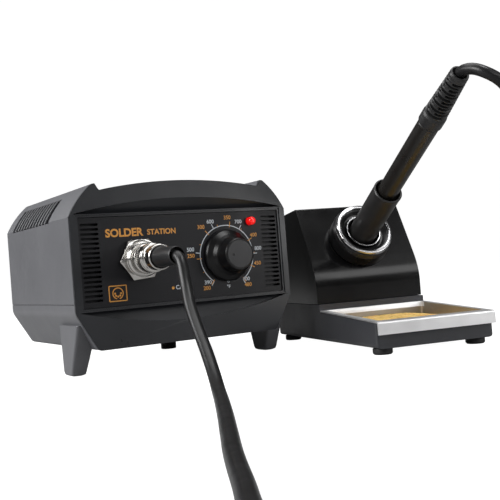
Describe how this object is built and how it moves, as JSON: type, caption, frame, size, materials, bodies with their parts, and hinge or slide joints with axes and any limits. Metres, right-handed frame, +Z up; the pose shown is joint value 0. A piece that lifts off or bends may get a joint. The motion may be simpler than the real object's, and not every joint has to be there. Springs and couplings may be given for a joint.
{
  "type": "soldering iron station",
  "caption": "Temperature controlled soldering station: a vented case with a dial, knob and lamp, a separate iron stand with sponge tray and hooded holder, and a pencil iron on its lead.",
  "frame": {"origin": "middle of the footprint of the controller and its stand, on the surface they stand on", "axes": "+Z up; the controller's front panel faces -Y; +X to the right seen from the front, towards the stand"},
  "size_m": [0.3457, 0.5754, 0.1603],
  "materials": {
    "case_plastic": "satin grey moulding with a fine texture",
    "bezel_plastic": "charcoal satin moulding",
    "panel_plastic": "black panel with printed dial marks",
    "plated_steel": "zinc plate",
    "nickel_plate": "bright nickel plate",
    "knob_plastic": "glossy black skirt, matt cap",
    "black_plastic": "black moulding",
    "handle_plastic": "smooth black tube",
    "rubber": "black rubber",
    "grip_rubber": "soft black rubber",
    "lamp_lens": "lit red lens",
    "ceramic": "white ceramic",
    "circuit_board": "green laminate",
    "transformer_steel": "stacked laminations",
    "copper_winding": "varnished copper wire",
    "aluminium": "extruded",
    "stand_plastic": "dark satin moulding",
    "hood_paint": "glossy black stove enamel",
    "tray_steel": "pressed stainless steel",
    "funnel_steel": "polished steel tube",
    "sponge": "tan cellulose sponge",
    "cord_silicone": "smooth black silicone jacket"
  },
  "bodies": {
    "station": {"case_screw_1": "plated_steel", "case_screw_2": "plated_steel", "case_screw_3": "plated_steel", "case_screw_4": "plated_steel", "circuit_board": "circuit_board", "cord_station_side": "cord_silicone", "filter_capacitor": "black_plastic", "front_bezel": "bezel_plastic", "front_panel": "panel_plastic", "fuse_holder": "black_plastic", "heat_sink": "aluminium", "holder_funnel": "funnel_steel", "holder_ring": "black_plastic", "holder_trim_ring": "nickel_plate", "hood_screw_1": "plated_steel", "hood_screw_2": "plated_steel", "inlet_screw_1": "plated_steel", "inlet_screw_2": "plated_steel", "lamp_holder": "black_plastic", "left_vent_grille": "case_plastic", "lower_shell": "case_plastic", "mains_inlet": "black_plastic", "plug_barrel": "black_plastic", "plug_boot": "rubber", "potentiometer_body": "black_plastic", "power_lamp": "lamp_lens", "power_switch_housing": "black_plastic", "rear_foot_left": "rubber", "rear_foot_right": "rubber", "rear_panel": "bezel_plastic", "right_vent_grille": "case_plastic", "socket_body": "nickel_plate", "socket_lock_ring": "nickel_plate", "socket_nut": "nickel_plate", "stand_base": "stand_plastic", "stand_foot_1": "rubber", "stand_foot_2": "rubber", "stand_foot_3": "rubber", "stand_foot_4": "rubber", "stand_hood": "hood_paint", "transformer_core": "transformer_steel", "transformer_winding": "copper_winding", "trimmer_housing": "black_plastic", "upper_shell": "case_plastic"},
    "temperature_knob": {"temperature_knob": "knob_plastic", "potentiometer_shaft": "aluminium"},
    "calibration_trimmer": {"calibration_trimmer": "black_plastic"},
    "plug_coupling_ring": {"plug_coupling_ring": "nickel_plate"},
    "power_switch_rocker": {"power_switch_rocker": "black_plastic"},
    "fuse_cap": {"fuse_cap": "black_plastic"},
    "sponge_tray": {"sponge_tray": "tray_steel"},
    "cleaning_sponge": {"cleaning_sponge": "sponge"},
    "iron": {"iron_handle": "handle_plastic", "iron_grip_sleeve": "grip_rubber", "iron_strain_relief": "grip_rubber", "iron_barrel": "funnel_steel", "heating_element": "ceramic", "iron_tip": "funnel_steel", "cord_iron_side": "cord_silicone"},
    "iron_nut": {"iron_nut": "funnel_steel"}
  },
  "joints": [
    {"name": "temperature_knob_turn", "type": "hinge", "parent": "station", "child": "temperature_knob", "pos_m": [-0.02784, -0.00194, 0.067], "axis": [0, 1, 0], "range_deg": [-50, 230]},
    {"name": "calibration_trimmer_turn", "type": "hinge", "parent": "station", "child": "calibration_trimmer", "pos_m": [-0.06234, 0.00206, 0.055], "axis": [0, 1, 0], "range_deg": [-135, 135]},
    {"name": "plug_ring_spin", "type": "hinge", "parent": "station", "child": "plug_coupling_ring", "pos_m": [-0.08934, -0.02194, 0.0682], "axis": [0, -1, 0], "continuous": true},
    {"name": "power_switch_rock", "type": "hinge", "parent": "station", "child": "power_switch_rocker", "pos_m": [-0.09534, 0.13736, 0.062], "axis": [-1, 0, 0], "range_deg": [0, 22]},
    {"name": "fuse_cap_turn", "type": "hinge", "parent": "station", "child": "fuse_cap", "pos_m": [-0.06134, 0.14306, 0.046], "axis": [0, 1, 0], "range_deg": [0, 90]},
    {"name": "sponge_tray_lift", "type": "slide", "parent": "station", "child": "sponge_tray", "axis": [0, 0, 1], "range_m": [0, 0.022]},
    {"name": "sponge_lift", "type": "slide", "parent": "sponge_tray", "child": "cleaning_sponge", "axis": [0, 0, 1], "range_m": [0, 0.012]},
    {"name": "iron_lift_out", "type": "slide", "parent": "station", "child": "iron", "axis": [-0.183, -0.8465, 0.5], "range_m": [0, 0.13]},
    {"name": "iron_nut_spin", "type": "hinge", "parent": "iron", "child": "iron_nut", "pos_m": [0.07841, -0.00156, 0.071], "axis": [-0.183, -0.8465, 0.5], "continuous": true}
  ]
}
